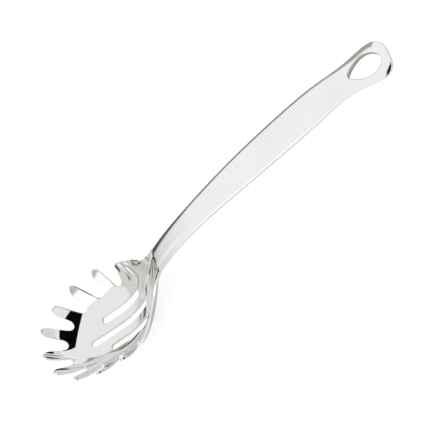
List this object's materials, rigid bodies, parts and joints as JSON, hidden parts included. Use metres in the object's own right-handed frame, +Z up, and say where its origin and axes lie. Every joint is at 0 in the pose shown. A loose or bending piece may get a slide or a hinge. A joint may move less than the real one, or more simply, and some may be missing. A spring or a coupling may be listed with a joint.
{
  "type": "pasta server",
  "caption": "Stainless steel pasta server with a mirror-polished toothed and slotted bowl and a hollow satin handle that ends in a teardrop hang hole.",
  "frame": {"origin": "centre of the bounding box's bottom, on the surface that the bowl and the handle's end lie on", "axes": "+X runs from the middle tine along the server to the handle's looped end, +Z is up out of the hollow side of the bowl, and the X-Z plane divides the server into two mirrored halves"},
  "size_m": [0.3322, 0.0764, 0.0419],
  "materials": {
    "polished_steel": "mirror-polished stainless steel",
    "satin_steel": "satin stainless steel"
  },
  "bodies": {
    "root": {"head": "polished_steel", "handle_upper_shell": "satin_steel", "handle_lower_shell": "satin_steel", "hang_hole_liner": "satin_steel"}
  },
  "joints": []
}
